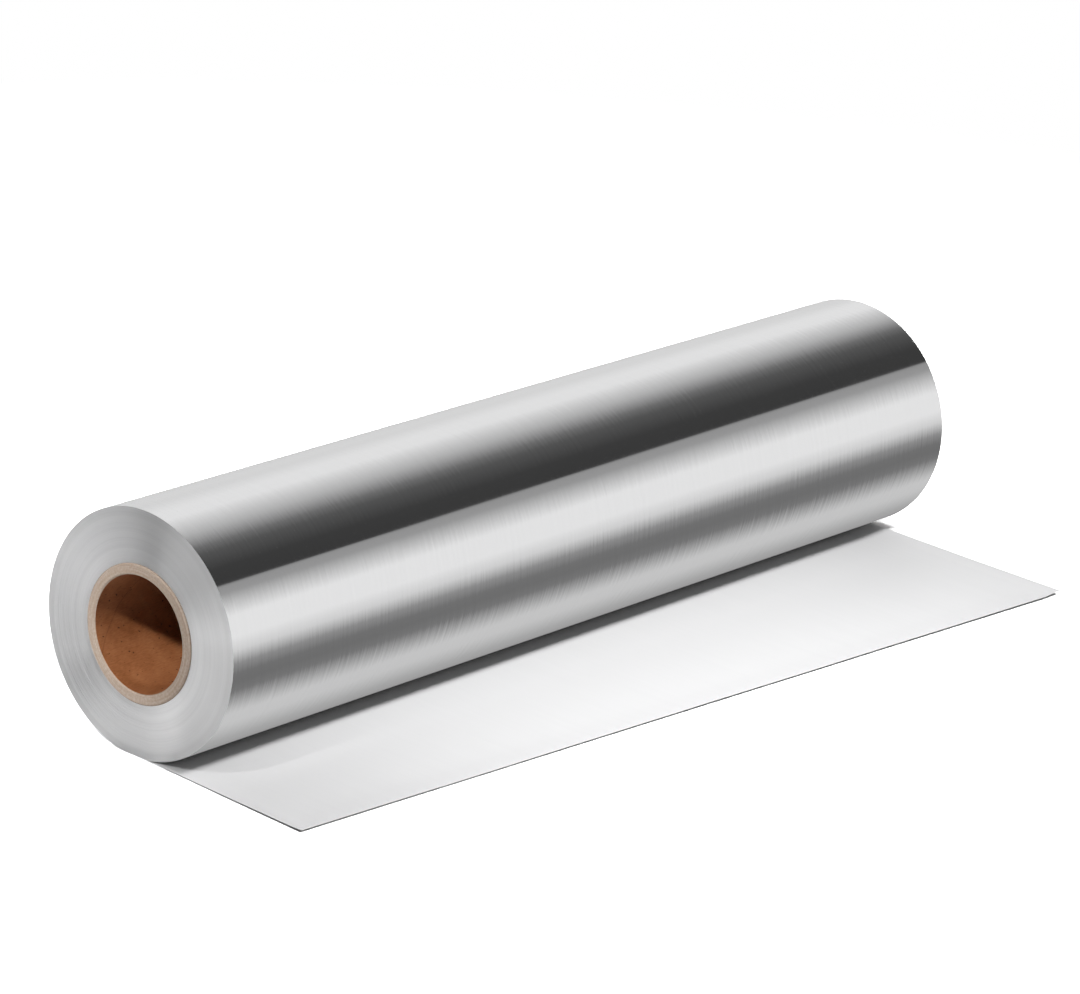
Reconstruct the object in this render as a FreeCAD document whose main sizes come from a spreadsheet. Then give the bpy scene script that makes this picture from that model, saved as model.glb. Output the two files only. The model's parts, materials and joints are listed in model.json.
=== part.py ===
"""An aluminium foil roll that lies on a table with a short length of foil drawn out in front of it.

The foil is one continuous web. It is wound on a cardboard core, and its outermost turn leaves the roll at
the bottom and runs forward over the table. So the object has two pieces: the foil, wound turns and free
leaf together, and the core.

Frame: X runs along the roll, the leaf comes forward along -Y, +Z is up. The origin is on the table, under
the middle of the roll's axis. Millimetres.
"""

import FreeCAD, Part
import Sketcher
import math
import os

# Driving dimensions: alias, value, what it is.
SIZES = [
    ("web_width", 300.0, "width of the foil, which is the length of the wound roll"),
    ("roll_radius", 34.0, "outer radius of the wound turns"),
    ("bore_radius", 16.0, "radius of the core's bore, for a 32 mm spindle"),
    ("core_wall", 3.0, "wall of the cardboard core"),
    ("core_overhang", 0.7, "how far the core stands out of the turns at each end"),
    ("core_chamfer", 0.4, "cut edge of the core, inside and outside"),
    ("flat_half_width", 4.0, "half the width of the flat spot that the roll rests on"),
    ("turn_groups", 12.0, "number of groups of turns that show as rings on the ends"),
    ("turn_wander", 0.12, "how far a group of turns strays along the axis"),
    ("wander_angle", 137.5, "step in degrees of the wander from one group to the next"),
    ("leaf_gauge", 0.1, "thickness of the free leaf"),
    ("leaf_left", 64.0, "length of the leaf in front of the axis, at its left side"),
    ("leaf_right", 85.0, "length of the leaf in front of the axis, at its right side"),
    ("leaf_flat", 25.0, "how far in front of the axis the leaf lies flat before it curls up"),
    ("leaf_askew", 3.2, "angle in degrees by which the leaf is drawn out off square, towards the left"),
    ("curl_radius", 1600.0, "radius of the leaf's slight upward curl"),
    ("cut_margin", 8.0, "how far a cut reaches past what it takes off"),
]

# Dimensions worked out from the driving ones: alias, expression, what it is.
DERIVED = [
    ("core_radius", "=bore_radius + core_wall", "outer radius of the core and bore of the turns"),
    ("core_length", "=web_width + 2 * core_overhang", "length of the core"),
    (
        "axis_height",
        "=sqrt(roll_radius ^ 2 - flat_half_width ^ 2)",
        "height of the roll's axis over the table",
    ),
    ("turn_pitch", "=(roll_radius - core_radius) / turn_groups", "radial depth of a group of turns"),
    ("leaf_reach", "=max(leaf_left; leaf_right) + cut_margin", "length of the leaf before it is trimmed"),
    ("trim_slope", "=(leaf_right - leaf_left) / web_width", "slant of the leaf's free edge"),
]

# A sketch's own origin, as geometry index and point.
ORIGIN = (-1, 1)


def make_sheet(doc):
    """The spreadsheet that holds every size, with an alias for each."""
    sheet = doc.addObject("Spreadsheet::Sheet", "sizes")
    rows = [(alias, str(value), note) for alias, value, note in SIZES] + DERIVED
    for row, (alias, content, note) in enumerate(rows, start=1):
        sheet.set(f"A{row}", note)
        sheet.set(f"B{row}", content)
        sheet.setAlias(f"B{row}", alias)
    doc.recompute()
    return sheet


def new_body(doc, label):
    """A body whose own X axis is the roll's axis, lifted so that the roll rests on the table."""
    body = doc.addObject("PartDesign::Body", label)
    body.Label = label
    body.setExpression("Placement.Base.z", "sizes.axis_height")
    return body


def new_sketch(body, name, plane_role):
    """A sketch on one of the body's own origin planes."""
    sketch = body.newObject("Sketcher::SketchObject", name)
    plane = next(f for f in body.Origin.OriginFeatures if f.Role == plane_role)
    sketch.AttachmentSupport = [(plane, "")]
    sketch.MapMode = "FlatFace"
    return sketch


def point(x, y):
    """A point of a sketch."""
    return FreeCAD.Vector(x, y, 0)


def bind(sketch, kind, start, end, value, expression):
    """Sets the distance between two sketch points, each given as (geometry, point), and ties it to the sheet.

    The value is what the expression comes to now, so the sketch starts out at its right shape.
    """
    index = sketch.addConstraint(Sketcher.Constraint(kind, *start, *end, value))
    name = f"{sketch.Name}_{index}"
    sketch.renameConstraint(index, name)
    sketch.setExpression(f"Constraints.{name}", expression)


def closed_loop(sketch, points):
    """Draws a closed outline of straight lines and joins their ends. Returns the first line's index."""
    first = sketch.GeometryCount
    count = len(points)
    for start, end in zip(points, points[1:] + points[:1]):
        sketch.addGeometry(Part.LineSegment(start, end), False)
    for line in range(count):
        following = (line + 1) % count
        sketch.addConstraint(Sketcher.Constraint("Coincident", first + line, 2, first + following, 1))
    return first


def wound_turns(body, sheet):
    """The wound turns: groups of turns of one width, each strayed a little along the axis, turned about X."""
    groups = int(sheet.turn_groups)
    last = groups - 1
    half = sheet.web_width / 2
    steps = [last - group for group in range(groups)]
    strays = [sheet.turn_wander * math.sin(math.radians(sheet.wander_angle * step)) for step in steps]
    stray_terms = [f"sizes.turn_wander * sin(sizes.wander_angle * {step})" for step in steps]
    radii = [sheet.core_radius + level * sheet.turn_pitch for level in range(groups + 1)]
    radius_terms = [f"sizes.core_radius + {level} * sizes.turn_pitch" for level in range(groups + 1)]
    right_side = []
    left_side = []
    for group, stray in enumerate(strays):
        for radius in (radii[group], radii[group + 1]):
            right_side.append(point(stray + half, radius))
            left_side.append(point(stray - half, radius))
    sketch = new_sketch(body, "turns_section", "XZ_Plane")
    corners = right_side + left_side[::-1]
    first = closed_loop(sketch, corners)
    for line in range(len(corners)):
        kind = "Vertical" if line % 2 == 0 else "Horizontal"
        sketch.addConstraint(Sketcher.Constraint(kind, first + line))
    for group, (stray, term) in enumerate(zip(strays, stray_terms)):
        right_corner = (first + 2 * group, 1)
        left_corner = (first + len(right_side) + 2 * (last - group), 1)
        bind(sketch, "DistanceX", ORIGIN, right_corner, half + stray, f"sizes.web_width / 2 + {term}")
        bind(sketch, "DistanceX", left_corner, ORIGIN, half - stray, f"sizes.web_width / 2 - {term}")
        bind(sketch, "DistanceY", ORIGIN, right_corner, radii[group], radius_terms[group])
        if group > 0:
            # The left side's steps stand at the same radii as the right side's.
            sketch.addConstraint(Sketcher.Constraint("Horizontal", *right_corner, left_corner[0], 2))
    bind(sketch, "DistanceY", ORIGIN, (first + 2 * last, 2), radii[groups], radius_terms[groups])
    turns = body.newObject("PartDesign::Revolution", "turns")
    turns.Profile = sketch
    turns.ReferenceAxis = (sketch, ["H_Axis"])
    turns.Angle = 360.0
    return turns


def flat_spot(body, sheet):
    """The flat that the turns press into themselves where they rest."""
    sketch = new_sketch(body, "flat_section", "YZ_Plane")
    reach = sheet.roll_radius + sheet.cut_margin
    top = -sheet.axis_height
    corners = [point(-reach, top), point(reach, top), point(reach, -reach), point(-reach, -reach)]
    first = closed_loop(sketch, corners)
    for line, kind in enumerate(("Horizontal", "Vertical", "Horizontal", "Vertical")):
        sketch.addConstraint(Sketcher.Constraint(kind, first + line))
    reach_term = "sizes.roll_radius + sizes.cut_margin"
    bind(sketch, "DistanceX", (first, 1), ORIGIN, reach, reach_term)
    bind(sketch, "DistanceX", ORIGIN, (first, 2), reach, reach_term)
    bind(sketch, "DistanceY", (first, 1), ORIGIN, sheet.axis_height, "sizes.axis_height")
    bind(sketch, "DistanceY", (first + 1, 2), ORIGIN, reach, reach_term)
    flat = body.newObject("PartDesign::Pocket", "flat")
    flat.Profile = sketch
    flat.Type = "ThroughAll"
    flat.Midplane = True
    return flat


def free_leaf(body, sheet):
    """The leaf: flat on the table from under the axis forward, then a slight upward curl.

    Its section stands askew to the roll and is carried along the roll's own axis, so both sides lean alike.
    """
    gauge = sheet.leaf_gauge
    floor = -sheet.axis_height
    top = floor + gauge
    flat_end = -sheet.leaf_flat
    outer = sheet.curl_radius
    inner = outer - gauge
    centre = point(flat_end, floor + outer)
    normal = FreeCAD.Vector(0, 0, 1)
    sweep = (sheet.leaf_reach - sheet.leaf_flat) / outer
    down = -math.pi / 2
    start_angle = down - sweep

    def tip_point(radius):
        return centre + point(radius * math.cos(start_angle), radius * math.sin(start_angle))

    sketch = new_sketch(body, "leaf_section", "YZ_Plane")
    upright = FreeCAD.Vector(0, 1, 0)
    sketch.AttachmentOffset = FreeCAD.Placement(point(0, 0), FreeCAD.Rotation(upright, -sheet.leaf_askew))
    sketch.setExpression("AttachmentOffset.Rotation.Angle", "-sizes.leaf_askew")
    circle_under = Part.Circle(centre, normal, outer)
    circle_over = Part.Circle(centre, normal, inner)
    under = sketch.addGeometry(Part.LineSegment(point(0, floor), point(flat_end, floor)), False)
    arc_under = sketch.addGeometry(Part.ArcOfCircle(circle_under, start_angle, down), False)
    tip = sketch.addGeometry(Part.LineSegment(tip_point(outer), tip_point(inner)), False)
    arc_over = sketch.addGeometry(Part.ArcOfCircle(circle_over, start_angle, down), False)
    over = sketch.addGeometry(Part.LineSegment(point(flat_end, top), point(0, top)), False)
    root = sketch.addGeometry(Part.LineSegment(point(0, top), point(0, floor)), False)
    # An arc runs anticlockwise, so its first point is the tip's and its second the flat stretch's.
    rules = [
        ("Tangent", under, 2, arc_under, 2),
        ("Coincident", arc_under, 1, tip, 1),
        ("Coincident", tip, 2, arc_over, 1),
        ("Coincident", arc_over, 2, over, 1),
        ("Coincident", over, 2, root, 1),
        ("Coincident", root, 2, under, 1),
        ("Coincident", arc_under, 3, arc_over, 3),
        ("Horizontal", under),
        ("Horizontal", over),
        ("Vertical", root),
        ("PointOnObject", under, 1, -2),
    ]
    for rule in rules:
        sketch.addConstraint(Sketcher.Constraint(*rule))
    bind(sketch, "DistanceY", (under, 1), ORIGIN, sheet.axis_height, "sizes.axis_height")
    bind(sketch, "DistanceX", (under, 2), ORIGIN, sheet.leaf_flat, "sizes.leaf_flat")
    bind(sketch, "DistanceX", (arc_over, 2), ORIGIN, sheet.leaf_flat, "sizes.leaf_flat")
    bind(sketch, "DistanceY", (under, 1), (over, 2), gauge, "sizes.leaf_gauge")
    bind(sketch, "DistanceY", (under, 2), (arc_under, 3), outer, "sizes.curl_radius")
    for end in ((arc_under, 1), (tip, 2)):
        bind(sketch, "DistanceX", end, ORIGIN, sheet.leaf_reach, "sizes.leaf_reach")
    leaf = body.newObject("PartDesign::Pad", "leaf")
    leaf.Profile = sketch
    leaf.setExpression("Length", "sizes.web_width")
    leaf.Midplane = True
    leaf.UseCustomVector = True
    leaf.Direction = FreeCAD.Vector(1, 0, 0)
    leaf.AlongSketchNormal = False
    return leaf


def trimmed_edge(body, sheet):
    """The slanted cut that ends the leaf, seen from above."""
    margin = sheet.cut_margin
    half = sheet.web_width / 2 + margin
    near_left = sheet.leaf_left - sheet.trim_slope * margin
    near_right = sheet.leaf_right + sheet.trim_slope * margin
    far = sheet.leaf_reach + margin
    sketch = new_sketch(body, "trim_outline", "XY_Plane")
    outline = [point(-half, -near_left), point(-half, -far), point(half, -far), point(half, -near_right)]
    first = closed_loop(sketch, outline)
    for line, kind in enumerate(("Vertical", "Horizontal", "Vertical")):
        sketch.addConstraint(Sketcher.Constraint(kind, first + line))
    half_term = "sizes.web_width / 2 + sizes.cut_margin"
    left_term = "sizes.leaf_left - sizes.trim_slope * sizes.cut_margin"
    right_term = "sizes.leaf_right + sizes.trim_slope * sizes.cut_margin"
    bind(sketch, "DistanceX", (first, 1), ORIGIN, half, half_term)
    bind(sketch, "DistanceX", ORIGIN, (first + 2, 1), half, half_term)
    bind(sketch, "DistanceY", (first, 1), ORIGIN, near_left, left_term)
    bind(sketch, "DistanceY", (first + 2, 2), ORIGIN, near_right, right_term)
    bind(sketch, "DistanceY", (first, 2), ORIGIN, far, "sizes.leaf_reach + sizes.cut_margin")
    trim = body.newObject("PartDesign::Pocket", "trim")
    trim.Profile = sketch
    trim.Type = "ThroughAll"
    trim.Midplane = True
    return trim


def make_foil(doc, sheet):
    """The foil web, in one piece: wound turns, flat spot and free leaf."""
    body = new_body(doc, "foil")
    for step in (wound_turns, flat_spot, free_leaf, trimmed_edge):
        feature = step(body, sheet)
        doc.recompute()
        print(f"{feature.Name}: volume {feature.Shape.Volume:.2f} mm3, {len(feature.Shape.Solids)} solid")
    return body


def make_core(doc, sheet):
    """The cardboard core: a spiral-wound paper tube, glued solid, with lightly broken edges."""
    body = new_body(doc, "core")
    sketch = new_sketch(body, "core_section", "YZ_Plane")
    for alias in ("core_radius", "bore_radius"):
        radius = sheet.getPropertyByName(alias)
        ring = sketch.addGeometry(Part.Circle(point(0, 0), FreeCAD.Vector(0, 0, 1), radius), False)
        sketch.addConstraint(Sketcher.Constraint("Coincident", ring, 3, *ORIGIN))
        index = sketch.addConstraint(Sketcher.Constraint("Radius", ring, radius))
        sketch.renameConstraint(index, alias)
        sketch.setExpression(f"Constraints.{alias}", f"sizes.{alias}")
    tube = body.newObject("PartDesign::Pad", "tube")
    tube.Profile = sketch
    tube.setExpression("Length", "sizes.core_length")
    tube.Midplane = True
    doc.recompute()
    rims = [
        f"Edge{index}"
        for index, edge in enumerate(tube.Shape.Edges, start=1)
        if isinstance(edge.Curve, Part.Circle) and edge.isClosed()
    ]
    cut = body.newObject("PartDesign::Chamfer", "broken_edges")
    cut.Base = (tube, rims)
    cut.setExpression("Size", "sizes.core_chamfer")
    doc.recompute()
    print(f"core: volume {cut.Shape.Volume:.2f} mm3, {len(rims)} rims")
    return body


def check_document(doc):
    """Stops if any object of the document failed to build."""
    failed = [o.Name for o in doc.Objects if "Invalid" in o.State or "Error" in o.State]
    if failed:
        raise RuntimeError(f"these objects failed to build: {failed}")


def write_parts(bodies):
    """Writes each sub-part's shape to a STEP file with the name of its node."""
    os.makedirs("parts", exist_ok=True)
    for body in bodies:
        shape = body.Shape
        if shape.isNull() or not shape.isValid():
            raise RuntimeError(f"{body.Label} has no valid shape")
        if len(shape.Solids) != 1:
            raise RuntimeError(f"{body.Label} is {len(shape.Solids)} solids and has to be one")
        shape.exportStep(f"parts/{body.Label}.step")
        box = shape.BoundBox
        extent = f"{box.XLength:.2f} x {box.YLength:.2f} x {box.ZLength:.2f} mm"
        print(f"{body.Label}: {extent}, low {box.ZMin:.4f}")


def main():
    """Builds the document, checks it and writes the sub-parts."""
    doc = FreeCAD.newDocument("foil_roll")
    sheet = make_sheet(doc)
    bodies = [make_foil(doc, sheet), make_core(doc, sheet)]
    doc.recompute()
    check_document(doc)
    write_parts(bodies)


main()
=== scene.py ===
"""An aluminium foil roll with a short leaf drawn out over a white table, in soft studio light.

The foil is one web: bright outside, matte inside. It is wound on a cardboard core, presses a small flat
where it rests, and leaves the roll at the bottom as a free leaf that lies matte side up. Metres, +Z up,
X along the roll, the leaf comes forward along -Y.
"""

import json
import logging
import math
from dataclasses import dataclass
from enum import Enum

import bpy
import numpy as np
from mathutils import Matrix, Vector


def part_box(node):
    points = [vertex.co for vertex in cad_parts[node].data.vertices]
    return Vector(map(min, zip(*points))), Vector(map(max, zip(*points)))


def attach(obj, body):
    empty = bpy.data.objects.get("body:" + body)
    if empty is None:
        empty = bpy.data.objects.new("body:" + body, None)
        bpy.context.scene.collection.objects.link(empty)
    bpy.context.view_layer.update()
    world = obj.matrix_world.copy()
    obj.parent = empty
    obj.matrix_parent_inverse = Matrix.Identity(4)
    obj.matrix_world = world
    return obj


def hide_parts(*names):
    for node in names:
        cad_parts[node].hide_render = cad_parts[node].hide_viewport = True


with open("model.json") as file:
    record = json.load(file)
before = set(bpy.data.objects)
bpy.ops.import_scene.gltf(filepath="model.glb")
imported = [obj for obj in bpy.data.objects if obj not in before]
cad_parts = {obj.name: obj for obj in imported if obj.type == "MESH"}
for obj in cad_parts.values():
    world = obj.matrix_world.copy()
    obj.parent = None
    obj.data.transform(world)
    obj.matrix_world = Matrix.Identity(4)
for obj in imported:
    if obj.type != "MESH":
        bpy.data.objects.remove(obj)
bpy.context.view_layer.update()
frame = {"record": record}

Colour = tuple[float, float, float, float]
Place = tuple[float, float, float]
Span = tuple[float, float]

MM = 0.001
TINY = 1e-6
SHARP_ANGLE = math.radians(35)
# Most of a noise lies in the first span, and most of the sum of two noises in the second.
NOISE_SPAN = (0.3, 0.7)
PAIR_SPAN = (0.7, 1.3)
LOG = logging.getLogger("foil_roll")


class Slot(Enum):
    """The finishes that the part's record names."""

    FOIL = "foil"
    CARDBOARD = "cardboard"


@dataclass(frozen=True)
class RollFrame:
    """The roll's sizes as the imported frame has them."""

    radius: float
    axis_height: float
    core_radius: float
    bore_radius: float
    core_length: float
    web_width: float
    flat_half: float

    @classmethod
    def from_cad(cls) -> "RollFrame":
        """Reads the sizes from the CAD nodes and from the record's bore mount.

        Returns:
            The sizes, in metres.
        """
        foil_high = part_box("foil")[1]
        core_low, core_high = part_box("core")
        axis_height = (core_low.z + core_high.z) / 2
        bore = next(mount for mount in frame["record"]["mounts"] if mount["kind"] == "bore")
        radius = foil_high.y
        return cls(
            radius=radius,
            axis_height=axis_height,
            core_radius=core_high.y,
            bore_radius=bore["dims"]["r_mm"] * MM,
            core_length=core_high.x - core_low.x,
            web_width=300 * MM,
            flat_half=math.sqrt(radius**2 - axis_height**2),
        )


def wave_sum(where: np.ndarray, periods: tuple[float, ...], seed: int) -> np.ndarray:
    """A smooth uneven line: the mean of sine waves of the given periods with seeded phases.

    Args:
        where: Positions along the line.
        periods: Length of each wave, in the same unit.
        seed: Seed of the phases.

    Returns:
        Values between -1 and 1, in the shape of where.
    """
    phases = np.random.default_rng(seed).uniform(0, 2 * math.pi, len(periods))
    waves = [np.sin(2 * math.pi * where / period + phase) for period, phase in zip(periods, phases)]
    return np.mean(waves, axis=0)


def smooth_step(value: np.ndarray) -> np.ndarray:
    """Rises smoothly from 0 to 1 as the value goes from 0 to 1, and is flat outside."""
    inside = np.clip(value, 0, 1)
    return inside**2 * (3 - 2 * inside)


def grid_faces(rows: int, columns: int, closed_rows: bool, closed_columns: bool) -> np.ndarray:
    """Corner indices of the quads of a grid of points.

    Args:
        rows: Number of rows of points.
        columns: Number of points in a row.
        closed_rows: Whether the last row joins the first.
        closed_columns: Whether the last point of a row joins its first.

    Returns:
        Two arrays of four corners per quad: the row and the column of each corner, not yet wrapped.
    """
    row_count = rows if closed_rows else rows - 1
    column_count = columns if closed_columns else columns - 1
    row, column = np.meshgrid(np.arange(row_count), np.arange(column_count), indexing="ij")
    corner_rows = np.stack([row, row, row + 1, row + 1], axis=-1).reshape(-1, 4)
    corner_columns = np.stack([column, column + 1, column + 1, column], axis=-1).reshape(-1, 4)
    return np.stack([corner_rows, corner_columns])


def grid_object(
    name: str,
    points: np.ndarray,
    web: np.ndarray,
    closed_rows: bool = False,
    closed_columns: bool = False,
) -> bpy.types.Object:
    """Makes a smooth-shaded object from a grid of points.

    Args:
        name: The object's name.
        points: Array of rows by columns by three.
        web: UV of each grid corner, one row or column more where the grid is closed.
        closed_rows: Whether the last row joins the first.
        closed_columns: Whether the last point of a row joins its first.

    Returns:
        The linked object, at the origin.
    """
    rows, columns = points.shape[:2]
    corner_rows, corner_columns = grid_faces(rows, columns, closed_rows, closed_columns)
    quads = (corner_rows % rows) * columns + corner_columns % columns
    mesh = bpy.data.meshes.new(name)
    mesh.from_pydata(points.reshape(-1, 3).tolist(), [], quads.tolist())
    layer = mesh.uv_layers.new(name="web")
    corners = web[corner_rows, corner_columns].reshape(-1, 2)
    layer.data.foreach_set("uv", corners.astype(np.float32).ravel())
    mesh.polygons.foreach_set("use_smooth", np.ones(len(quads), dtype=bool))
    mesh.set_sharp_from_angle(angle=SHARP_ANGLE)
    mesh.update()
    made = bpy.data.objects.new(name, mesh)
    bpy.context.scene.collection.objects.link(made)
    return made


def section_travel(x: np.ndarray, radius: np.ndarray, closing: float) -> np.ndarray:
    """How far along a closed section each of its points lies.

    Args:
        x: Place of each point along the axis.
        radius: Its distance from the axis.
        closing: Length that the step from the last point back to the first is given.

    Returns:
        The distance travelled at each point, and once more at the end of the closing step.
    """
    steps = np.append(np.hypot(np.diff(x), np.diff(radius)), closing)
    return np.concatenate([[0.0], np.cumsum(steps)])


def carried_round(
    name: str, x: np.ndarray, reach: np.ndarray, axis_height: float, travel: np.ndarray, web_radius: float
) -> bpy.types.Object:
    """Carries a closed section round the roll's axis.

    The turn starts level at the back and goes over the top. A point lies at its reach times the turn's
    cosine along Y, and at its reach times the sine up from the axis.

    Args:
        name: The object's name.
        x: Place along the axis of each point of the section, for each turn or for all turns at once.
        reach: Distance from the axis of each point of the section, for each turn.
        axis_height: Height of the axis.
        travel: UV coordinate along the section, one more than its points.
        web_radius: Radius by which the turn becomes a length in the UV map.

    Returns:
        The linked object, closed both ways.
    """
    angle = turn_angles(reach.shape[1])
    places = np.broadcast_to(x, reach.shape)
    points = np.stack([places, np.cos(angle) * reach, axis_height + np.sin(angle) * reach], axis=-1)
    around = np.append(angle, 2 * math.pi) * web_radius
    web = np.stack(np.meshgrid(travel, around, indexing="ij"), axis=-1)
    return grid_object(name, points, web, closed_rows=True, closed_columns=True)


def turn_angles(segments: int) -> np.ndarray:
    """The angles of one full turn in even steps, in radians."""
    return np.arange(segments) * 2 * math.pi / segments


def finish_faces(
    made: bpy.types.Object, second: np.ndarray, materials: tuple[bpy.types.Material, bpy.types.Material]
) -> None:
    """Gives an object its two materials.

    Args:
        made: The object.
        second: For each face, whether it has the second material.
        materials: The two materials.
    """
    for material in materials:
        made.data.materials.append(material)
    made.data.polygons.foreach_set("material_index", second.astype(np.int32))


class NodeBench:
    """Builds a node tree in short calls."""

    def __init__(self, tree: bpy.types.NodeTree) -> None:
        """Empties the tree."""
        self.tree = tree
        tree.nodes.clear()

    def add(self, kind: str, settings: dict | None = None, **inputs: object) -> bpy.types.Node:
        """Adds a node.

        Args:
            kind: The node's type name without the ShaderNode prefix.
            settings: Properties of the node itself.
            **inputs: Sockets by name, with underscores for spaces. A socket is linked, a value is set.

        Returns:
            The node.
        """
        node = self.tree.nodes.new(f"ShaderNode{kind}")
        for key, value in (settings or {}).items():
            setattr(node, key, value)
        for key, value in inputs.items():
            self.plug(value, node.inputs[key.replace("_", " ")])
        return node

    def plug(self, value: object, socket: bpy.types.NodeSocket) -> None:
        """Links a socket to the given one, or sets its value."""
        if isinstance(value, bpy.types.NodeSocket):
            self.tree.links.new(value, socket)
        else:
            socket.default_value = value

    def math(self, operation: str, *terms: object, clamp: bool = False) -> bpy.types.NodeSocket:
        """A Math node's result for sockets or numbers."""
        node = self.add("Math", {"operation": operation, "use_clamp": clamp})
        for index, term in enumerate(terms):
            self.plug(term, node.inputs[index])
        return node.outputs[0]

    def flat_place(self, x: object, y: object) -> bpy.types.NodeSocket:
        """A place in a plane, put together from sockets or numbers."""
        return self.add("CombineXYZ", X=x, Y=y).outputs[0]

    def noise(self, where: bpy.types.NodeSocket, scale: float, detail: float) -> bpy.types.NodeSocket:
        """Noise of about 0 to 1 at a place."""
        return self.add("TexNoise", Vector=where, Scale=scale, Detail=detail).outputs["Fac"]

    def grain(
        self, across: object, along: object, pitch: float, length: float, detail: float
    ) -> bpy.types.NodeSocket:
        """Noise of about 0 to 1 that is drawn out one way.

        Args:
            across: The coordinate across the grain, in metres.
            along: The coordinate along it.
            pitch: Size of the noise across the grain.
            length: Its size along the grain.
            detail: Number of finer layers.

        Returns:
            The noise.
        """
        place = self.flat_place(self.math("DIVIDE", across, pitch), self.math("DIVIDE", along, length))
        return self.noise(place, 1.0, detail)

    def spread(
        self, value: object, low: float, high: float, to_low: float = 0.0, to_high: float = 1.0
    ) -> bpy.types.NodeSocket:
        """Maps low to high onto another range, clamped."""
        node = self.add("MapRange")
        for index, term in enumerate((value, low, high, to_low, to_high)):
            self.plug(term, node.inputs[index])
        return node.outputs[0]

    def mix(self, share: object, first: object, second: object) -> bpy.types.NodeSocket:
        """A colour mixed from two."""
        node = self.add("Mix", {"data_type": "RGBA"})
        self.plug(share, node.inputs[0])
        self.plug(first, node.inputs[6])
        self.plug(second, node.inputs[7])
        return node.outputs[2]

    def bump(self, height: bpy.types.NodeSocket, depth: float) -> bpy.types.NodeSocket:
        """A normal for a height that is given as a share of a depth in metres."""
        return self.add("Bump", Strength=1.0, Distance=depth, Height=height).outputs[0]

    def web_place(self) -> tuple[bpy.types.NodeSocket, bpy.types.NodeSocket]:
        """The two coordinates of the piece's own UV map, in metres."""
        split = self.add("SeparateXYZ", Vector=self.add("UVMap", {"uv_map": "web"}).outputs[0])
        return split.outputs[0], split.outputs[1]

    def web_tangent(self) -> bpy.types.NodeSocket:
        """The direction in which the first coordinate of the UV map grows."""
        return self.add("Tangent", {"direction_type": "UV_MAP", "uv_map": "web"}).outputs[0]

    def object_place(self) -> tuple[bpy.types.NodeSocket, bpy.types.Node]:
        """The place in the object's own space, and the node that splits it into coordinates."""
        place = self.add("TexCoord").outputs["Object"]
        return place, self.add("SeparateXYZ", Vector=place)

    def glow(self, tone: object) -> bpy.types.NodeSocket:
        """An even glow of a tone."""
        return self.add("Emission", Color=tone, Strength=1.0).outputs[0]

    def blend(
        self, share: object, first: bpy.types.NodeSocket, second: bpy.types.NodeSocket
    ) -> bpy.types.NodeSocket:
        """A shader mixed from two."""
        mixed = self.add("MixShader", Fac=share)
        self.plug(first, mixed.inputs[1])
        self.plug(second, mixed.inputs[2])
        return mixed.outputs[0]

    def principled(self, **inputs: object) -> None:
        """Sends a Principled shader with these inputs to the output."""
        self.surface(self.add("BsdfPrincipled", **inputs).outputs[0])

    def surface(self, shader: bpy.types.NodeSocket) -> None:
        """Sends a shader to the material's or world's output."""
        kind = "OutputWorld" if isinstance(self.tree.id_data, bpy.types.World) else "OutputMaterial"
        self.add(kind, Surface=shader)


def new_material(name: str) -> tuple[bpy.types.Material, NodeBench]:
    """An empty node material and the bench to build it on."""
    material = bpy.data.materials.new(name)
    material.use_nodes = True
    return material, NodeBench(material.node_tree)


def grey(level: float) -> Colour:
    """A neutral colour."""
    return (level, level, level, 1.0)


@dataclass(frozen=True)
class BrightFoil:
    """The bright side of the web: near-mirror aluminium with fine rolling lines along the web.

    The lines are calm in a strip along the drum, which lies at a place of its own along the web.
    """

    low_tone: Colour = (0.86, 0.86, 0.865, 1.0)
    high_tone: Colour = (0.90, 0.90, 0.905, 1.0)
    line_pitch: float = 1.3 * MM
    line_length: float = 25 * MM
    line_depth: float = 0.1 * MM
    calm_place: float = 83.5 * MM
    calm_half: float = 2.0 * MM
    calm_fade: float = 4.0 * MM
    patch_scale: float = 18.0
    patch_span: Span = (0.6, 1.4)
    roughness: Span = (0.075, 0.11)
    anisotropy: float = 0.7

    def material(self) -> bpy.types.Material:
        """Builds the material on the web's UV, whose first coordinate runs across the lines."""
        material, bench = new_material("bright_foil")
        across, along = bench.web_place()
        lines = bench.grain(across, along, self.line_pitch, self.line_length, 3.0)
        patches = bench.noise(bench.flat_place(across, along), self.patch_scale, 1.0)
        off = bench.math("ABSOLUTE", bench.math("SUBTRACT", along, self.calm_place))
        strength = bench.spread(off, self.calm_half, self.calm_half + self.calm_fade)
        height = bench.math("MULTIPLY", bench.math("SUBTRACT", lines, 0.5), strength)
        bench.principled(
            Metallic=1.0,
            Anisotropic=self.anisotropy,
            Base_Color=bench.mix(lines, self.low_tone, self.high_tone),
            Roughness=bench.spread(bench.math("ADD", lines, patches), *self.patch_span, *self.roughness),
            Normal=bench.bump(height, self.line_depth),
            Tangent=bench.web_tangent(),
        )
        return material


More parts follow.
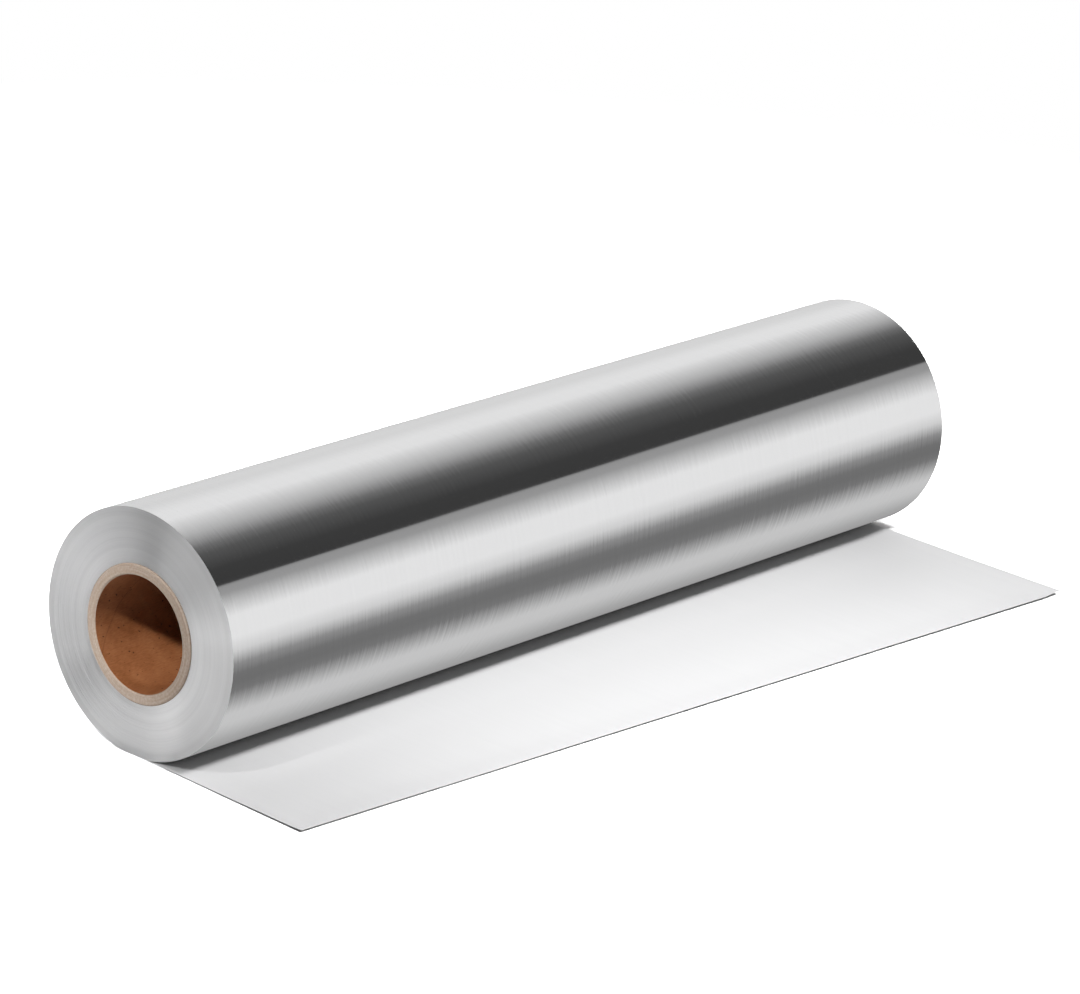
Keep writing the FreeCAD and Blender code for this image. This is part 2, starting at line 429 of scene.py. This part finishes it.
@dataclass(frozen=True)
class TurnEdges:
    """The cut edges of the turns, side by side: satin, with rings of slightly different tone."""

    low_tone: Colour = (0.81, 0.81, 0.815, 1.0)
    high_tone: Colour = (0.89, 0.89, 0.895, 1.0)
    ring_pitch: float = 0.35 * MM
    ring_length: float = MM / 0.012
    ring_depth: float = 0.012 * MM
    band_pitch: float = MM / 0.42
    band_length: float = 1.0
    roughness: Span = (0.45, 0.53)
    anisotropy: float = 0.85

    def material(self) -> bpy.types.Material:
        """Builds the material on the web's UV, whose first coordinate runs outwards here."""
        material, bench = new_material("turn_edges")
        outwards, around = bench.web_place()
        fine = bench.grain(outwards, around, self.ring_pitch, self.ring_length, 3.0)
        wide = bench.grain(outwards, around, self.band_pitch, self.band_length, 1.0)
        share = bench.spread(bench.math("ADD", fine, wide), *PAIR_SPAN)
        bench.principled(
            Metallic=1.0,
            Anisotropic=self.anisotropy,
            Base_Color=bench.mix(share, self.low_tone, self.high_tone),
            Roughness=bench.spread(fine, *NOISE_SPAN, *self.roughness),
            Normal=bench.bump(fine, self.ring_depth),
            Tangent=bench.web_tangent(),
        )
        return material


@dataclass(frozen=True)
class MatteFoil:
    """The matte side of the web, which is the leaf's upper face."""

    low_tone: Colour = (0.87, 0.87, 0.875, 1.0)
    high_tone: Colour = (0.91, 0.91, 0.915, 1.0)
    line_pitch: float = 1.1 * MM
    line_length: float = 45 * MM
    line_depth: float = 0.004 * MM
    metallic: float = 0.25
    roughness: Span = (0.58, 0.66)

    def material(self) -> bpy.types.Material:
        """Builds the material on the web's UV, whose first coordinate runs across the web."""
        material, bench = new_material("matte_foil")
        across, along = bench.web_place()
        lines = bench.grain(across, along, self.line_pitch, self.line_length, 3.0)
        bench.principled(
            Metallic=self.metallic,
            Base_Color=bench.mix(lines, self.low_tone, self.high_tone),
            Roughness=bench.spread(lines, *NOISE_SPAN, *self.roughness),
            Normal=bench.bump(lines, self.line_depth),
        )
        return material


@dataclass(frozen=True)
class KraftBoard:
    """Spiral-wound grey-brown board: kraft lining in the bore, paler cut plies at the rims."""

    lining_dark: Colour = (0.205, 0.073, 0.026, 1.0)
    lining_light: Colour = (0.33, 0.132, 0.055, 1.0)
    lining_roughness: Span = (0.72, 0.9)
    lining_gloss: float = 0.2
    lining_depth: float = 0.04 * MM
    fibre_length: float = MM / 0.7
    fibre_width: float = MM / 2.4
    cloud_scale: float = 130.0
    speck_dark: Colour = (0.07, 0.026, 0.011, 1.0)
    speck_scale: float = 850.0
    speck_span: Span = (0.69, 0.74)
    seam_lean: float = 0.75
    seam_pitch: float = 75 * MM
    seam_width: float = 0.5 * MM
    seam_shade: float = 0.25
    seam_drop: float = 0.4
    rim_dark: Colour = (0.27, 0.20, 0.15, 1.0)
    rim_light: Colour = (0.39, 0.32, 0.265, 1.0)
    rim_roughness: float = 0.9
    ply: float = 0.5 * MM
    ply_length: float = MM / 0.06
    torn_scale: float = 1500.0
    torn_depth: float = 0.08 * MM

    def lining(self) -> bpy.types.Material:
        """The bore's lining: fibres, specks and the helical seam between two strips of paper."""
        material, bench = new_material("kraft_lining")
        along, around = bench.web_place()
        place = bench.flat_place(along, around)
        leaning = bench.math("ADD", along, bench.math("MULTIPLY", around, self.seam_lean))
        fibres = bench.grain(leaning, around, self.fibre_length, self.fibre_width, 4.0)
        cloud = bench.noise(place, self.cloud_scale, 2.0)
        share = bench.spread(bench.math("ADD", fibres, cloud), *PAIR_SPAN)
        tone = bench.mix(share, self.lining_dark, self.lining_light)
        specks = bench.spread(bench.noise(place, self.speck_scale, 1.0), *self.speck_span)
        tone = bench.mix(specks, tone, self.speck_dark)
        turn = bench.math("FRACT", bench.math("DIVIDE", leaning, self.seam_pitch))
        seam = bench.math("LESS_THAN", turn, self.seam_width / self.seam_pitch)
        tone = bench.mix(bench.math("MULTIPLY", seam, self.seam_shade), tone, self.speck_dark)
        height = bench.math("SUBTRACT", fibres, bench.math("MULTIPLY", seam, self.seam_drop))
        bench.principled(
            Base_Color=tone,
            Roughness=bench.spread(fibres, *NOISE_SPAN, *self.lining_roughness),
            Specular_IOR_Level=self.lining_gloss,
            Normal=bench.bump(height, self.lining_depth),
        )
        return material

    def cut_rim(self) -> bpy.types.Material:
        """The sawn end of the tube: plies as rings, broken by torn fibres."""
        material, bench = new_material("cut_board")
        outwards, around = bench.web_place()
        plies = bench.grain(outwards, around, self.ply, self.ply_length, 2.0)
        torn = bench.noise(bench.flat_place(outwards, around), self.torn_scale, 3.0)
        share = bench.spread(bench.math("ADD", plies, torn), *PAIR_SPAN)
        bench.principled(
            Base_Color=bench.mix(share, self.rim_dark, self.rim_light),
            Roughness=self.rim_roughness,
            Normal=bench.bump(torn, self.torn_depth),
        )
        return material


@dataclass(frozen=True)
class WoundFoil:
    """The wound turns: one closed profile of the turns' edges and outside, carried round the axis."""

    roll: RollFrame
    groups: int = 12
    stray: float = 0.02 * MM
    stray_angle: float = 137.5
    rings_per_group: int = 5
    ring_stray: float = 0.006 * MM
    ring_seed: int = 5
    ring_groove: float = 0.05
    ring_bevel: float = 0.05 * MM
    segments: int = 240
    spans: int = 60
    web_gauge: float = 0.1 * MM
    wave_height: float = 0.012 * MM
    wave_periods: tuple[float, ...] = (0.23, 0.13, 0.071, 0.038)
    wave_lean: float = 0.4
    wave_seed: int = 11
    wave_end: float = -0.9

    def ring_profile(self) -> tuple[np.ndarray, np.ndarray, np.ndarray]:
        """The relief of the ends: how far each ring of turns strays, and the slope of its cut edges.

        Each group of turns strays by stray times the sine of its number times the stray angle, and each
        ring in it strays a little more. A ring has two points, at its inner and its outer edge, and its
        face falls back by the bevel from the first to the second, because the slitting knife leaves the
        foil's edges so.

        Returns:
            The share of the way from core to outside, the stray along X, and how far the face falls back.
        """
        rings = self.groups * self.rings_per_group
        ring = np.arange(rings)
        share = np.stack([ring + self.ring_groove, ring + 1 - self.ring_groove], axis=1) / rings
        group = self.groups - 1 - ring // self.rings_per_group
        stray = self.stray * np.sin(np.radians(self.stray_angle * group))
        fine = np.random.default_rng(self.ring_seed).uniform(-self.ring_stray, self.ring_stray, rings)
        share[0, 0] = 0.0
        share[-1, 1] = 1.0
        return share.ravel(), np.repeat(stray + fine, 2), np.tile([-0.5, 0.5], rings) * self.ring_bevel

    def build(self) -> bpy.types.Object:
        """Carries the profile round the axis.

        A point of the profile is a place along X and a share of the depth from core to outside. Its
        distance from the axis is the core's radius plus that share of the depth at its angle, and the
        depth at an angle reaches to the outer circle or to the flat under the roll, whichever comes first.
        The outside has low waves, except where the sine of the angle is under the waves' end.

        Returns:
            The object, with the bright side and the turns' edges as its two materials.
        """
        roll = self.roll
        half = roll.web_width / 2
        share, stray, fall = self.ring_profile()
        middle = np.linspace(-1, 1, self.spans + 1)[1:-1] * half
        x = np.concatenate([stray + fall - half, middle, (stray - fall)[::-1] + half])
        depth_share = np.concatenate([share, np.ones(len(middle)), share[::-1]])
        angle = turn_angles(self.segments)
        down = np.maximum(-np.sin(angle), TINY)
        depth = np.minimum(roll.radius, (roll.axis_height - self.web_gauge) / down) - roll.core_radius
        reach = roll.core_radius + depth_share[:, None] * depth[None, :]
        outside = depth_share[:, None] >= 1.0
        around = angle[None, :] * roll.radius
        wave = wave_sum(x[:, None] + self.wave_lean * around, self.wave_periods, self.wave_seed)
        waved = outside * (np.sin(angle) > self.wave_end)[None, :]
        reach = reach + waved * self.wave_height * (wave - 1)
        travel = section_travel(x, depth_share * (roll.radius - roll.core_radius), roll.web_width)
        made = carried_round("wound_foil", x[:, None], reach, roll.axis_height, travel, roll.radius)
        face_row = np.repeat(np.arange(len(x)), self.segments)
        edge_face = (face_row < len(share) - 1) | (face_row >= len(x) - len(share))
        finish_faces(made, edge_face, (BrightFoil().material(), TurnEdges().material()))
        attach(made, "root")
        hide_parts("foil")
        return made


@dataclass(frozen=True)
class FreeLeaf:
    """The leaf drawn out under the roll: flat, then a slight curl up, with its edges a little raised."""

    roll: RollFrame
    reach_left: float = 64 * MM
    reach_right: float = 85 * MM
    flat_reach: float = 25 * MM
    curl_radius: float = 4.0
    askew: float = math.radians(3.2)
    gauge: float = 0.1 * MM
    left_lift: float = 0.3 * MM
    right_lift: float = 1.0 * MM
    side_width: float = 7 * MM
    front_lift: float = 0.42 * MM
    front_width: float = 6 * MM
    wave_height: float = 0.1 * MM
    wave_periods: tuple[float, ...] = (0.21, 0.118, 0.064)
    wave_lean: float = 0.35
    wave_seed: int = 3
    columns: int = 241
    rows: int = 71
    row_power: float = 0.8

    @property
    def slant(self) -> float:
        """How much the reach grows for each metre across the web."""
        return (self.reach_right - self.reach_left) / self.roll.web_width

    @property
    def lean(self) -> float:
        """How far the leaf goes to the left for each metre ahead."""
        return math.tan(self.askew)

    def upper_face(self) -> tuple[np.ndarray, np.ndarray]:
        """The leaf's upper face as a grid.

        A point goes a share of the way from the back of the flat spot to the trimmed edge, whose reach
        grows from left to right, and it leans to the left as it goes, by the askew angle. Its height is
        the curl's circle beyond the flat stretch, plus a lift that fades inwards from the left, right and
        front edges, plus long low waves that fade in beyond the roll.

        Returns:
            The points and their place on the web, in metres.
        """
        flat_half = self.roll.flat_half
        half = self.roll.web_width / 2
        across = np.linspace(-half, half, self.columns)
        forward = np.linspace(0, 1, self.rows) ** self.row_power
        reach = (self.reach_left + self.slant * (across + half)) / (1 + self.slant * self.lean)
        ahead = forward[:, None] * (reach[None, :] + flat_half) - flat_half
        x = across[None, :] - self.lean * np.maximum(ahead, 0)
        beyond = np.maximum(ahead - self.flat_reach, 0)
        curl = self.curl_radius - np.sqrt(self.curl_radius**2 - beyond**2)
        free = smooth_step((ahead - flat_half) / (2 * flat_half))
        from_side = half - np.abs(across)[None, :]
        from_front = reach[None, :] - ahead
        side_lift = np.where(across < 0, self.left_lift, self.right_lift)[None, :]
        side = side_lift * np.exp(-((from_side / self.side_width) ** 2))
        front = self.front_lift * np.exp(-((from_front / self.front_width) ** 2))
        wave = wave_sum(x + self.wave_lean * ahead, self.wave_periods, self.wave_seed)
        waved = smooth_step((ahead - self.flat_reach) / self.flat_reach) * self.wave_height
        height = self.gauge + curl + free * np.maximum(side, front) + waved * (wave + 1) / 2
        points = np.stack([x, -ahead, height], axis=-1)
        web_across = np.broadcast_to(across[None, :] + half, x.shape)
        return points, np.stack([web_across, ahead + flat_half], axis=-1)

    def build(self) -> bpy.types.Object:
        """Closes the leaf: the upper face, and the same grid one gauge lower with its rows reversed.

        Returns:
            The object, with the matte and the bright side as its two materials.
        """
        upper, web = self.upper_face()
        lower = upper - np.array([0, 0, self.gauge])
        loop = np.concatenate([upper, lower[::-1]])
        loop_web = np.concatenate([web, web[::-1], web[:1]])
        made = grid_object("free_leaf", loop, loop_web, closed_rows=True)
        self.close_sides(made)
        face_row = np.arange(len(made.data.polygons)) // (self.columns - 1)
        bright = (face_row >= self.rows) & (face_row < 2 * self.rows - 1)
        finish_faces(made, bright, (MatteFoil().material(), BrightFoil().material()))
        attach(made, "root")
        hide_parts("foil")
        return made

    def close_sides(self, made: bpy.types.Object) -> None:
        """Adds the narrow faces along the left and the right edge.

        Args:
            made: The leaf, whose loop of rows is open at its two sides.
        """
        mesh = made.data
        row = np.arange(self.rows - 1)
        opposite = 2 * self.rows - 1 - row
        left = np.stack([row, row + 1, opposite - 1, opposite], axis=1) * self.columns
        right = left[:, ::-1] + self.columns - 1
        sides = np.concatenate([left, right])
        faces = len(mesh.polygons) + len(sides)
        corner = np.zeros(len(mesh.loops), dtype=np.int32)
        mesh.loops.foreach_get("vertex_index", corner)
        uv = np.zeros(2 * len(corner), dtype=np.float32)
        mesh.uv_layers["web"].data.foreach_get("uv", uv)
        uv_of = np.zeros((len(mesh.vertices), 2), dtype=np.float32)
        uv_of[corner] = uv.reshape(-1, 2)
        mesh.loops.add(sides.size)
        mesh.polygons.add(len(sides))
        corners = np.concatenate([corner, sides.ravel()]).astype(np.int32)
        mesh.loops.foreach_set("vertex_index", corners)
        mesh.polygons.foreach_set("loop_start", np.arange(faces, dtype=np.int32) * 4)
        mesh.polygons.foreach_set("use_smooth", np.ones(faces, dtype=bool))
        side_uv = uv_of[sides.ravel()].ravel()
        mesh.uv_layers["web"].data.foreach_set("uv", np.concatenate([uv, side_uv]))
        mesh.update(calc_edges=True)
        mesh.set_sharp_from_angle(angle=SHARP_ANGLE)


@dataclass(frozen=True)
class PaperCore:
    """The cardboard core: a closed section of bore, rims and outside carried round the axis."""

    roll: RollFrame
    chamfer: float = 0.4 * MM
    segments: int = 192
    rim_points: int = 9
    bore_points: int = 60
    ragged: float = 0.05 * MM
    ragged_waves: tuple[int, ...] = (5, 13, 31)
    ragged_seed: int = 8

    def build(self) -> bpy.types.Object:
        """Carries the section round the axis and lets the sawn rims run slightly uneven.

        Returns:
            The object, with the lining and the cut board as its two materials.
        """
        roll = self.roll
        half = roll.core_length / 2
        bore, outside = roll.bore_radius, roll.core_radius
        rim = np.linspace(bore + self.chamfer, outside - self.chamfer, self.rim_points)
        face = np.full(self.rim_points, half)
        inside_x = np.linspace(half - self.chamfer, self.chamfer - half, self.bore_points)
        x = np.concatenate([-face, [self.chamfer - half, half - self.chamfer], face, inside_x])
        radius = np.concatenate([rim, [outside, outside], rim[::-1], np.full(self.bore_points, bore)])
        on_rim = np.abs(x) >= half - 0.5 * self.chamfer
        periods = tuple(2 * math.pi / waves for waves in self.ragged_waves)
        uneven = wave_sum(turn_angles(self.segments)[None, :], periods, self.ragged_seed)
        shift = on_rim[:, None] * self.ragged * (uneven - 1) * np.sign(x)[:, None]
        reach = np.broadcast_to(radius[:, None], shift.shape)
        travel = section_travel(x, radius, self.chamfer)
        made = carried_round("paper_core", x[:, None] + shift, reach, roll.axis_height, travel, bore)
        face_row = np.repeat(np.arange(len(x)), self.segments)
        cut = (face_row < len(x) - self.bore_points) | (face_row == len(x) - 1)
        board = KraftBoard()
        finish_faces(made, cut, (board.lining(), board.cut_rim()))
        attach(made, "root")
        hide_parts("core")
        return made


def hide_from(made: bpy.types.Object, *rays: str) -> None:
    """Makes an object unseen by the named kinds of ray."""
    for ray in rays:
        setattr(made, f"visible_{ray}", False)


@dataclass(frozen=True)
class Viewpoint:
    """The camera, where the photograph was taken from."""

    place: Place = (-1.0153, -0.8570, 0.4984)
    forward: Place = (0.72424, 0.60720, -0.32677)
    right: Place = (0.65814, -0.75010, 0.06485)
    lens: float = 167.6
    sensor_width: float = 36.0
    clip: Span = (0.05, 100.0)

    def build(self) -> bpy.types.Object:
        """Stands the camera up.

        Returns:
            The camera, already the scene's.
        """
        data = bpy.data.cameras.new("camera")
        data.lens = self.lens
        data.sensor_width = self.sensor_width
        data.clip_start, data.clip_end = self.clip
        made = bpy.data.objects.new("camera", data)
        bpy.context.scene.collection.objects.link(made)
        forward = Vector(self.forward).normalized()
        up = Vector(self.right).normalized().cross(forward).normalized()
        turn = Matrix((forward.cross(up), up, -forward)).transposed()
        made.matrix_world = Matrix.Translation(self.place) @ turn.to_4x4()
        bpy.context.scene.camera = made
        return made


@dataclass(frozen=True)
class TableTop:
    """A wide white table top. The camera sees it whiter than it lights the part, and shadows stay.

    To the metal it is lighter on the left, and behind the roll's right half an even glow. To the camera
    it turns into an even white far from the part.
    """

    half: float = 6.0
    drop: float = 0.02 * MM
    lit_tone: float = 0.8
    camera_tone: float = 1.9
    mirror_span: Span = (-0.2, -0.155)
    mirror_tones: Span = (1.0, 0.55)
    glow_span: Span = (0.0, 0.2)
    glow_tone: float = 0.68
    far_span: Span = (0.3, 0.6)

    def material(self) -> bpy.types.Material:
        """Builds the material on the place on the table."""
        material, bench = new_material("table_white")
        path = bench.add("LightPath")
        camera, glossy = path.outputs["Is Camera Ray"], path.outputs["Is Glossy Ray"]
        place, split = bench.object_place()
        mirrored = bench.spread(split.outputs[0], *self.mirror_span, *self.mirror_tones)
        tone = bench.mix(glossy, grey(self.lit_tone), mirrored)
        tone = bench.mix(camera, tone, grey(self.camera_tone))
        away = bench.add("VectorMath", {"operation": "LENGTH"}, Vector=place).outputs["Value"]
        far = bench.math("MULTIPLY", bench.spread(away, *self.far_span), camera)
        behind = bench.math("MULTIPLY", bench.spread(split.outputs[0], *self.glow_span), glossy)
        strength = bench.spread(camera, 0.0, 1.0, self.glow_tone, 1.0)
        matte = bench.add("BsdfDiffuse", Color=tone).outputs[0]
        glow = bench.add("Emission", Color=grey(1.0), Strength=strength).outputs[0]
        bench.surface(bench.blend(bench.math("ADD", far, behind, clamp=True), matte, glow))
        return material

    def build(self) -> bpy.types.Object:
        """Lays the table top just under the part.

        Returns:
            The table top.
        """
        half = self.half
        corners = [(-half, -half), (half, -half), (half, half), (-half, half)]
        mesh = bpy.data.meshes.new("floor")
        mesh.from_pydata([(x, y, -self.drop) for x, y in corners], [], [(0, 1, 2, 3)])
        made = bpy.data.objects.new("floor", mesh)
        bpy.context.scene.collection.objects.link(made)
        mesh.materials.append(self.material())
        return made


def hang_lamp(data: bpy.types.Light, place: Vector, target: Vector) -> bpy.types.Object:
    """Hangs a lamp and aims it. It lights the matte surfaces and stays out of the metal's reflections.

    Args:
        data: The lamp's data.
        place: Where it hangs.
        target: What it is aimed at.

    Returns:
        The lamp.
    """
    made = bpy.data.objects.new(data.name, data)
    bpy.context.scene.collection.objects.link(made)
    made.location = place
    made.rotation_euler = (target - place).to_track_quat("-Z", "Y").to_euler()
    hide_from(made, "glossy", "camera")
    return made


@dataclass(frozen=True)
class DiskLamp:
    """A round lamp aimed at the middle of the table.

    Its azimuth is counted in degrees from straight in front towards the left, its elevation from the table.
    """

    name: str
    power: float
    size: float
    azimuth: float
    elevation: float
    distance: float

    def build(self) -> bpy.types.Object:
        """Hangs the lamp.

        Returns:
            The lamp.
        """
        data = bpy.data.lights.new(self.name, "AREA")
        data.shape = "DISK"
        data.size = self.size
        data.energy = self.power
        azimuth, elevation = math.radians(self.azimuth), math.radians(self.elevation)
        level = math.cos(elevation)
        towards = Vector((-math.sin(azimuth) * level, -math.cos(azimuth) * level, math.sin(elevation)))
        return hang_lamp(data, towards * self.distance, Vector((0, 0, 0)))


@dataclass(frozen=True)
class SpotLamp:
    """A spot with a soft edge: its cone in degrees, and where it hangs from what it is aimed at."""

    name: str
    power: float
    size: float
    cone: float
    offset: Place

    def build(self, target: Vector) -> bpy.types.Object:
        """Hangs the lamp.

        Args:
            target: What it is aimed at.

        Returns:
            The lamp.
        """
        data = bpy.data.lights.new(self.name, "SPOT")
        data.spot_size = math.radians(self.cone)
        data.spot_blend = 1.0
        data.shadow_soft_size = self.size
        data.energy = self.power
        return hang_lamp(data, target + Vector(self.offset), target)


@dataclass(frozen=True)
class Band:
    """A stop of a reflector's tone: a direction round the roll's axis and the tone there."""

    degrees: float
    tone: float


@dataclass(frozen=True)
class Reflectors:
    """Toned cards that only reflections see. Their directions count in degrees from the front level up.

    The tent's tones lean: the further along X, the further they turn, up to the full skew overhead.
    """

    roll: RollFrame
    sky_tones: tuple[Span, ...] = (
        (-8, 0.86), (20, 0.86), (42, 0.335), (49.3, 0.31), (49.7, 0.043), (66, 0.048), (84, 0.095),
        (92, 0.165), (108, 0.475), (132, 0.83), (146, 0.83), (164, 0.715), (196, 0.715),
    )
    front_tones: tuple[Span, ...] = (
        (-72, 0.30), (-58, 0.41), (-47, 0.61), (-37, 0.62), (-32, 0.52), (-20, 0.195), (-14, 0.17),
        (-9, 0.18), (-3, 0.29), (4.5, 0.69), (11.8, 0.86),
    )
    tent_radius: float = 2.5
    tent_reach: float = 9.0
    tent_points: int = 49
    tent_skew: float = 10.0
    skew_span: Span = (10.0, 95.0)
    skew_middle: float = 2.6
    front_half: float = 0.7
    front_gap: float = 10 * MM
    front_arc: float = -41.0
    front_lift: float = 1.2 * MM
    arc_points: int = 25
    flat_points: int = 13
    flag_tone: float = 0.03
    flag_azimuth: float = 38.5
    flag_half: float = 0.02
    flag_spread: float = 0.1
    flag_away: tuple[float, ...] = (0.07, 0.3, 0.6, 1.2, 1.2, 1.2)
    flag_height: tuple[float, ...] = (0.001, 0.001, 0.001, 0.001, 1.0, 2.3)

    def toned(self, name: str, stops: list[Band], skew: float) -> bpy.types.Material:
        """A glow whose tone goes with the direction round the roll's axis.

        Args:
            name: The material's name.
            stops: The tones, by direction.
            skew: Degrees by which the tones turn for each metre along X.

        Returns:
            The material. It glows on the side that faces the roll and is clear from behind.
        """
        material, bench = new_material(name)
        split = bench.object_place()[1]
        height = bench.math("SUBTRACT", split.outputs[2], self.roll.axis_height)
        ahead = bench.math("MULTIPLY", split.outputs[1], -1.0)
        turned = bench.math("DEGREES", bench.math("ARCTAN2", height, ahead))
        # The angle's cut lies at the back level, so the back part is brought past it.
        turned = bench.math("WRAP", turned, 270.0, -90.0)
        lean = bench.math("MULTIPLY", bench.spread(turned, *self.skew_span), skew)
        beyond = bench.math("SUBTRACT", bench.math("MAXIMUM", split.outputs[0], 0.0), self.skew_middle)
        turned = bench.math("SUBTRACT", turned, bench.math("MULTIPLY", lean, beyond))
        low, high = stops[0].degrees, stops[-1].degrees
        ramp = bench.add("ValToRGB", Fac=bench.spread(turned, low, high))
        marks = ramp.color_ramp.elements
        marks[0].position = 0.0
        marks[0].color = grey(stops[0].tone)
        marks[1].position = 1.0
        marks[1].color = grey(stops[-1].tone)
        for stop in stops[1:-1]:
            mark = marks.new((stop.degrees - low) / (high - low))
            mark.color = grey(stop.tone)
        behind = bench.add("NewGeometry").outputs["Backfacing"]
        clear = bench.add("BsdfTransparent").outputs[0]
        bench.surface(bench.blend(behind, bench.glow(ramp.outputs[0]), clear))
        return material

    def card(
        self, name: str, points: np.ndarray, web: np.ndarray, material: bpy.types.Material
    ) -> bpy.types.Object:
        """A card seen in reflections only.

        Args:
            name: The card's name.
            points: Its points, two rows of them.
            web: Their UV.
            material: Its material.

        Returns:
            The card.
        """
        made = grid_object(name, points, web)
        made.data.materials.append(material)
        hide_from(made, "camera", "diffuse", "transmission", "shadow")
        return made

    def bent_card(
        self, name: str, reach: Span, ahead: np.ndarray, height: np.ndarray, material: bpy.types.Material
    ) -> bpy.types.Object:
        """A card carried along X.

        Args:
            name: The card's name.
            reach: Where it starts and ends along X.
            ahead: How far in front of the axis each point of its section is.
            height: The height of each point of its section.
            material: Its material.

        Returns:
            The card. With a reach that grows it faces the left of its section's way, seen along +X.
        """
        shape = (2, len(ahead))
        x = np.broadcast_to(np.array(reach)[:, None], shape)
        points = np.stack([x, np.broadcast_to(-ahead, shape), np.broadcast_to(height, shape)], axis=-1)
        web = np.stack(np.meshgrid(reach, height, indexing="ij"), axis=-1)
        return self.card(name, points, web, material)

    def tent(self) -> bpy.types.Object:
        """The big toned arch over the table: light, dark from one sharp edge on, light again."""
        stops = [Band(*stop) for stop in self.sky_tones]
        angle = np.radians(np.linspace(stops[0].degrees, stops[-1].degrees, self.tent_points))
        ahead = self.tent_radius * np.cos(angle)
        height = self.roll.axis_height + self.tent_radius * np.sin(angle)
        material = self.toned("tent_tones", stops, self.tent_skew)
        return self.bent_card("tent", (-self.tent_reach, self.tent_reach), ahead, height, material)

    def front_card(self) -> bpy.types.Object:
        """A narrow toned card close in front of the roll, which gives the metal its lower dark band."""
        stops = [Band(*stop) for stop in self.front_tones]
        axis_height = self.roll.axis_height
        half = self.front_half * self.roll.web_width
        radius = self.roll.radius + self.front_gap
        arc = np.radians(np.linspace(stops[-1].degrees, self.front_arc, self.arc_points))
        flat = np.radians(np.linspace(self.front_arc, stops[0].degrees, self.flat_points)[1:])
        flat_ahead = (axis_height - self.front_lift) / np.tan(-flat)
        ahead = np.concatenate([radius * np.cos(arc), flat_ahead])
        flat_height = np.full(len(flat), self.front_lift)
        height = np.concatenate([axis_height + radius * np.sin(arc), flat_height])
        material = self.toned("front_tones", stops, 0.0)
        return self.bent_card("front_card", (half, -half), ahead, height, material)

    def end_flag(self) -> bpy.types.Object:
        """A dark card on the left that lies on the table and then stands up.

        The turned end shows it as a darker wedge.

        Returns:
            The card, which widens as it leads away from the roll's end.
        """
        azimuth = math.radians(self.flag_azimuth)
        outwards = np.array((-math.cos(azimuth), math.sin(azimuth), 0.0))
        aside = np.array((math.sin(azimuth), math.cos(azimuth), 0.0))
        away = np.array(self.flag_away)[:, None]
        height = np.array(self.flag_height)[:, None]
        middle = away * outwards + height * np.array((0, 0, 1)) - (self.roll.web_width / 2, 0, 0)
        half_width = (self.flag_half + self.flag_spread * away) * aside
        points = np.stack([middle - half_width, middle + half_width])
        web = np.stack(np.meshgrid((0.0, 1.0), self.flag_away, indexing="ij"), axis=-1)
        material, bench = new_material("flag_black")
        bench.surface(bench.glow(grey(self.flag_tone)))
        return self.card("end_flag", points, web, material)

    def build(self) -> None:
        """Puts up all cards."""
        self.tent()
        self.front_card()
        self.end_flag()


@dataclass(frozen=True)
class Studio:
    """White table, lamps, even surroundings, and toned cards for the metal to reflect.

    The key is soft and stands in front, a little to the left. The glow lifts the middle of the leaf. The
    bore lamp falls from high on the left on the bottom of the bore. The back lamp is low behind the roll
    and clears the key's shadow there, while the leaf lies in the roll's shadow.
    """

    roll: RollFrame
    surround: float = 0.22
    key: DiskLamp = DiskLamp("key", power=7.0, size=0.14, azimuth=12, elevation=52, distance=0.95)
    back_lamp: DiskLamp = DiskLamp(
        "back_lamp", power=9.0, size=0.05, azimuth=183.2, elevation=28, distance=1.1
    )
    glow: SpotLamp = SpotLamp("glow", power=20.5, size=0.05, cone=23, offset=(0, -0.55, 0.72))
    glow_aim: Place = (8 * MM, -45 * MM, 0)
    bore_lamp: SpotLamp = SpotLamp(
        "bore_lamp", power=27.0, size=0.03, cone=7.2, offset=(-0.42, -0.10, 0.46)
    )
    bore_aim: Place = (0, 14 * MM, -4 * MM)

    def world(self) -> None:
        """Even surroundings, white to the camera and to the metal."""
        world = bpy.data.worlds.new("surroundings")
        world.use_nodes = True
        bpy.context.scene.world = world
        bench = NodeBench(world.node_tree)
        path = bench.add("LightPath")
        seen = bench.math("MAXIMUM", path.outputs["Is Camera Ray"], path.outputs["Is Glossy Ray"])
        strength = bench.math("MAXIMUM", seen, self.surround)
        bench.surface(bench.add("Background", Color=grey(1.0), Strength=strength).outputs[0])

    def build(self) -> None:
        """Sets up camera, table, surroundings, cards and lamps."""
        Viewpoint().build()
        TableTop().build()
        self.world()
        Reflectors(self.roll).build()
        rim_middle = Vector((-self.roll.core_length / 2, 0, self.roll.axis_height))
        self.key.build()
        self.glow.build(Vector(self.glow_aim))
        self.bore_lamp.build(rim_middle + Vector(self.bore_aim))
        self.back_lamp.build()
        bpy.context.scene.view_settings.view_transform = "Standard"
        bpy.context.scene.cycles.caustics_reflective = False


def report(made: bpy.types.Object) -> None:
    """Logs a piece's name and its number of faces."""
    LOG.info("%s: %d faces", made.name, len(made.data.polygons))


def main() -> None:
    """Builds the studio, then the roll's pieces in order."""
    logging.basicConfig(level=logging.INFO, format="%(name)s: %(message)s")
    roll = RollFrame.from_cad()
    Studio(roll).build()
    for piece in (WoundFoil(roll), FreeLeaf(roll), PaperCore(roll)):
        report(piece.build())


if __name__ == "__main__":
    main()
